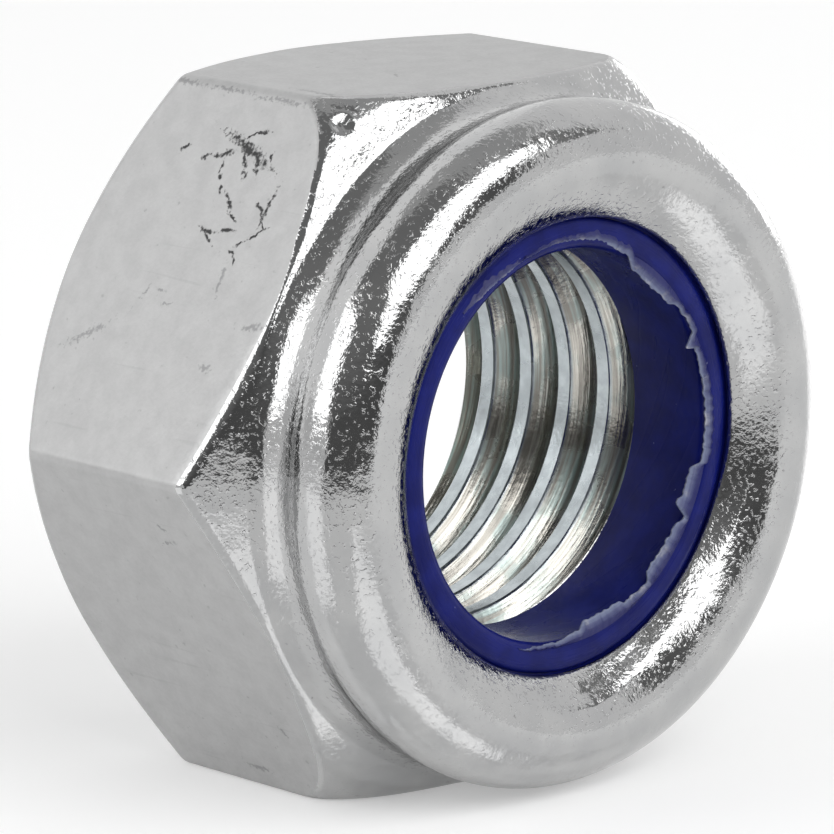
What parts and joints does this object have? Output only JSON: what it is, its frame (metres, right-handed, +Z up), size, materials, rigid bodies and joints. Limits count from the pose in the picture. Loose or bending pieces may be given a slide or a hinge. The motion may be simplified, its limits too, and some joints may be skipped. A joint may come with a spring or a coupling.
{
  "type": "hexagon lock nut",
  "caption": "Zinc-plated hexagon lock nut with a crimped round collar that holds a dark blue plastic locking ring at the mouth of its thread.",
  "frame": {"origin": "on the surface the nut stands on, under the middle of the nut's height and under the thread axis", "axes": "the nut stands on one of its six flats: +Z is up, across the flats; the thread axis lies along Y, with the crimped crown facing -Y and the bearing face facing +Y; X runs across the corners"},
  "size_m": [0.0218, 0.0116, 0.019],
  "materials": {
    "zinc_plate": "bright zinc plate, satin on the flats and shiny on the collar",
    "blue_nylon": "dark blue plastic, semi-gloss"
  },
  "bodies": {
    "root": {"nut_body": "zinc_plate", "locking_ring": "blue_nylon"}
  },
  "joints": []
}
